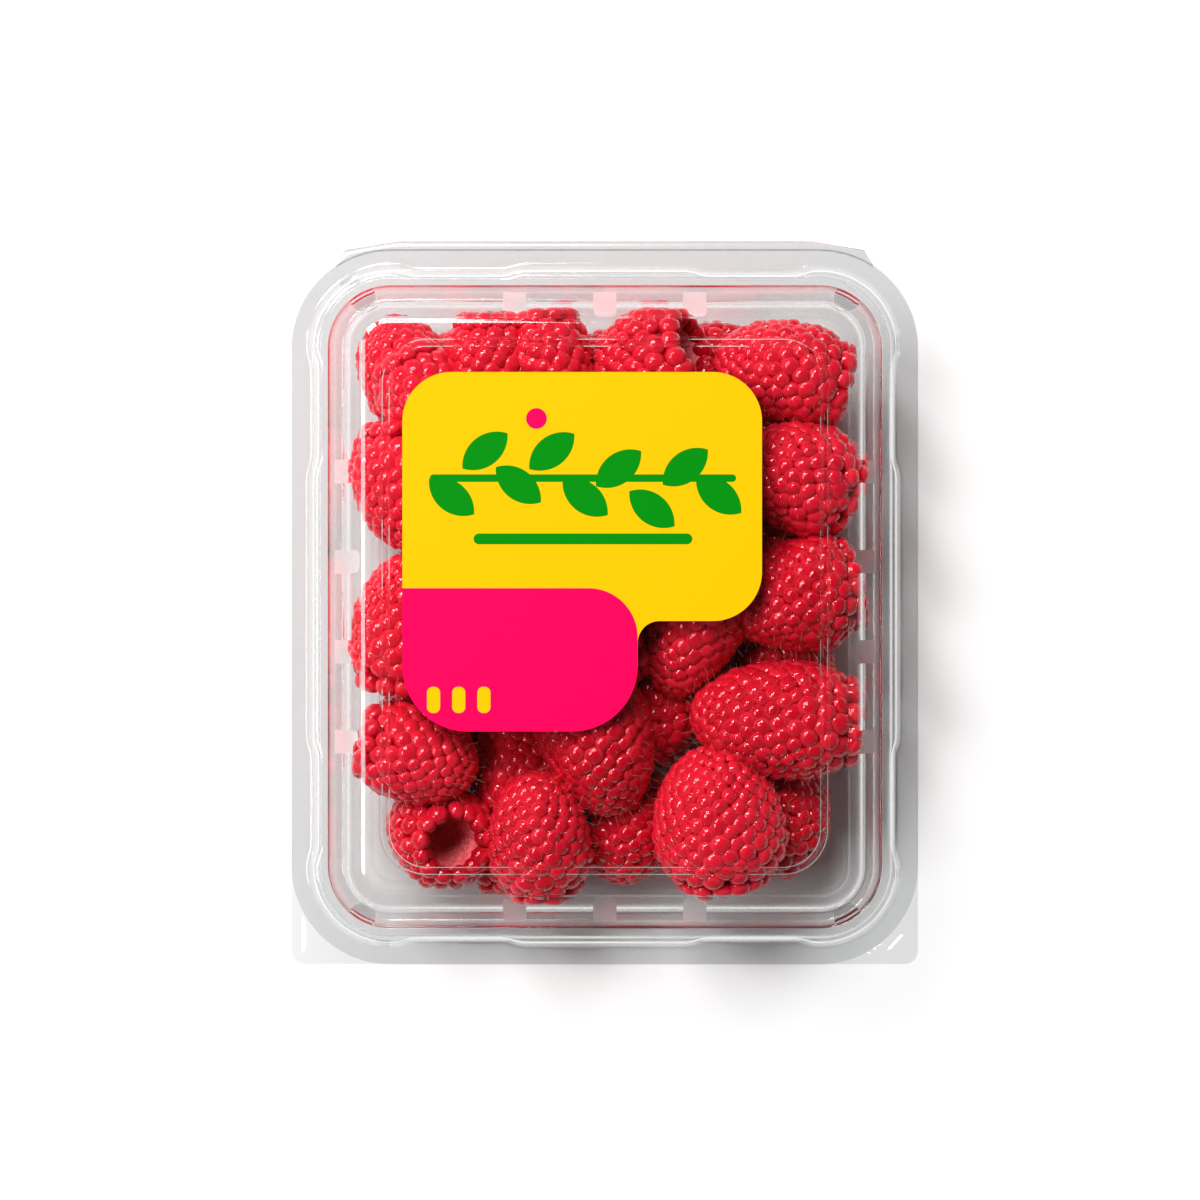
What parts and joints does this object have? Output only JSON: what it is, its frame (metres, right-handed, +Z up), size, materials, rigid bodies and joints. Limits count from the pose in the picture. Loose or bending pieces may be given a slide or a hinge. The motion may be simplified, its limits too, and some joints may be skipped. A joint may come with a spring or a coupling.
{
  "type": "punnet of raspberries",
  "caption": "Shut clear hinged-lid punnet filled with raspberries, with vent slots round the lid and a plain coloured label on top.",
  "frame": {"origin": "on the floor under the middle of the pack, hinge strip included", "axes": "+Y towards the hinge, +Z up, +X to the right seen from the front"},
  "size_m": [0.116, 0.1338, 0.0351],
  "materials": {
    "clear_sheet": "clear glossy moulded sheet",
    "label_paper": "satin print, yellow and magenta fields",
    "berry_flesh": "soft juicy skin with small highlights"
  },
  "bodies": {
    "punnet": {"tray": "clear_sheet", "berries": "berry_flesh"},
    "lid": {"lid": "clear_sheet", "label": "label_paper"}
  },
  "joints": [
    {"name": "lid_hinge", "type": "hinge", "parent": "punnet", "child": "lid", "pos_m": [0, 0.06642, 0.02575], "axis": [-1, 0, 0], "range_deg": [0, 180]}
  ]
}
